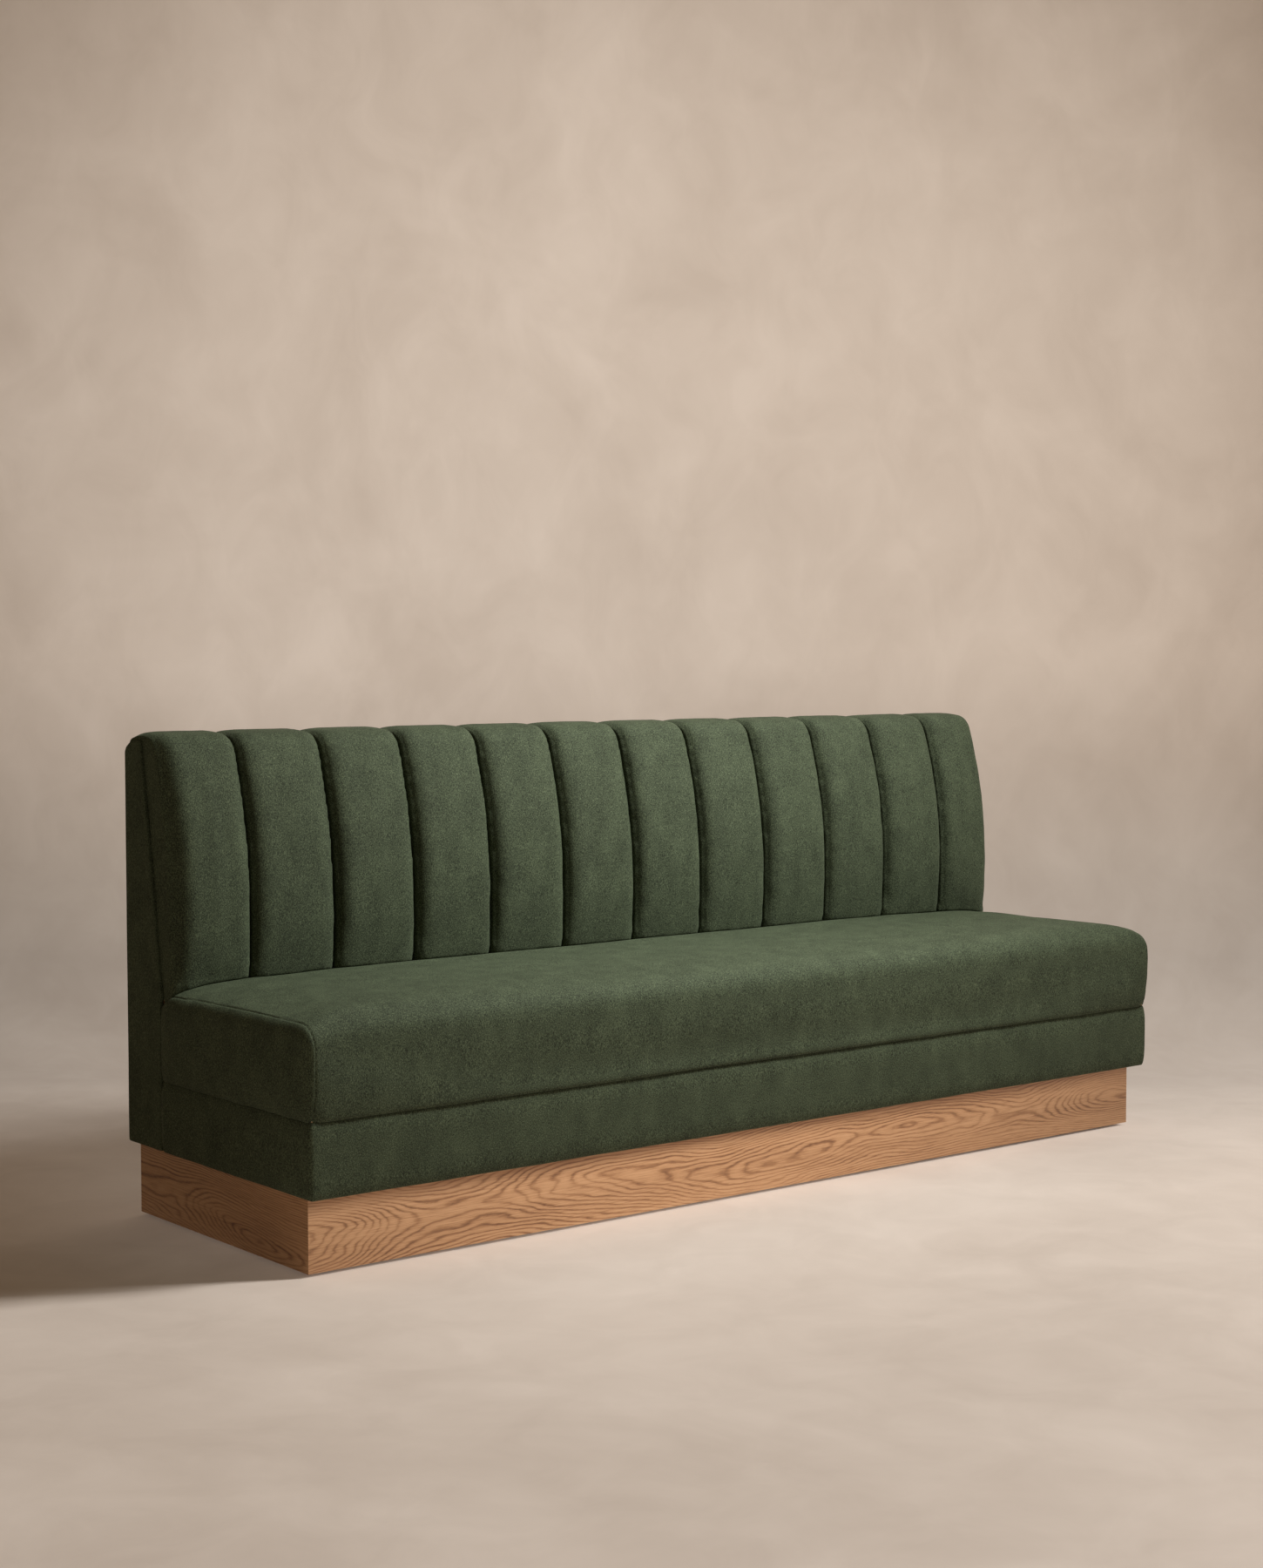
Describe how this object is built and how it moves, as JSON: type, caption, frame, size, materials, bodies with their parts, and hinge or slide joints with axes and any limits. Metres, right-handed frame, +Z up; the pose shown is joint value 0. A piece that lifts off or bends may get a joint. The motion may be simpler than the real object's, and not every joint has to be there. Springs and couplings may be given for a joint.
{
  "type": "upholstered banquette bench",
  "caption": "Long upholstered banquette bench: channelled padded back, crowned sprung seat, padded apron, recessed wood-veneered plinth on levelling feet.",
  "frame": {"origin": "on the floor, at the middle of the bench's length and depth", "axes": "+X runs along the bench, to the right as seen from the front; +Y points to the back; +Z is up; the front faces -Y"},
  "size_m": [2.149, 0.6553, 0.9],
  "materials": {
    "upholstery": "dark olive green wool felt, matt",
    "outside_back_cloth": "dark olive green wool felt, matt, stretched over a thin panel",
    "veneered_plinth": "warm tan open-grained veneer, satin lacquer",
    "plywood": "plain plywood, unfinished",
    "frame_timber": "planed softwood, unfinished",
    "seat_foam": "pale upholstery foam",
    "spring_felt": "grey needled felt",
    "spring_steel": "dark drawn wire and folded strip",
    "insert_brass": "plain brass",
    "plated_steel": "zinc plated",
    "foot_plastic": "black moulded plastic"
  },
  "bodies": {
    "bench": {"apron_front": "upholstery", "apron_left": "upholstery", "apron_right": "upholstery", "back_board": "plywood", "back_bolts_and_nuts": "plated_steel", "back_channel_01": "upholstery", "back_channel_02": "upholstery", "back_channel_03": "upholstery", "back_channel_04": "upholstery", "back_channel_05": "upholstery", "back_channel_06": "upholstery", "back_channel_07": "upholstery", "back_channel_08": "upholstery", "back_channel_09": "upholstery", "back_channel_10": "upholstery", "back_channel_11": "upholstery", "back_channel_12": "upholstery", "back_side_panel_left": "upholstery", "back_side_panel_right": "upholstery", "back_top_rail": "frame_timber", "back_upright_1": "frame_timber", "back_upright_2": "frame_timber", "back_upright_3": "frame_timber", "back_upright_4": "frame_timber", "base_screws": "plated_steel", "foot_inserts": "insert_brass", "outside_back": "outside_back_cloth", "plinth_foot_blocks": "frame_timber", "plinth_front": "veneered_plinth", "plinth_left": "veneered_plinth", "plinth_rear": "veneered_plinth", "plinth_rib_1": "frame_timber", "plinth_rib_2": "frame_timber", "plinth_right": "veneered_plinth", "seat_base_board": "plywood", "seat_cover": "upholstery", "seat_cross_rail_1": "frame_timber", "seat_cross_rail_2": "frame_timber", "seat_end_panel_left": "upholstery", "seat_end_panel_right": "upholstery", "seat_foam": "seat_foam", "seat_rail_front": "frame_timber", "seat_rail_left": "frame_timber", "seat_rail_rear": "frame_timber", "seat_rail_right": "frame_timber", "seat_springs": "spring_steel", "spring_clips": "spring_steel", "spring_pad": "spring_felt"},
    "foot_1": {"foot_1_pad": "foot_plastic", "foot_1_stem": "plated_steel"},
    "foot_2": {"foot_2_pad": "foot_plastic", "foot_2_stem": "plated_steel"},
    "foot_3": {"foot_3_pad": "foot_plastic", "foot_3_stem": "plated_steel"},
    "foot_4": {"foot_4_pad": "foot_plastic", "foot_4_stem": "plated_steel"},
    "foot_5": {"foot_5_pad": "foot_plastic", "foot_5_stem": "plated_steel"},
    "foot_6": {"foot_6_pad": "foot_plastic", "foot_6_stem": "plated_steel"}
  },
  "joints": [
    {"name": "foot_1_travel", "type": "slide", "parent": "bench", "child": "foot_1", "axis": [0, 0, 1], "range_m": [-0.012, 0]},
    {"name": "foot_2_travel", "type": "slide", "parent": "bench", "child": "foot_2", "axis": [0, 0, 1], "range_m": [-0.012, 0]},
    {"name": "foot_3_travel", "type": "slide", "parent": "bench", "child": "foot_3", "axis": [0, 0, 1], "range_m": [-0.012, 0]},
    {"name": "foot_4_travel", "type": "slide", "parent": "bench", "child": "foot_4", "axis": [0, 0, 1], "range_m": [-0.012, 0]},
    {"name": "foot_5_travel", "type": "slide", "parent": "bench", "child": "foot_5", "axis": [0, 0, 1], "range_m": [-0.012, 0]},
    {"name": "foot_6_travel", "type": "slide", "parent": "bench", "child": "foot_6", "axis": [0, 0, 1], "range_m": [-0.012, 0]}
  ]
}
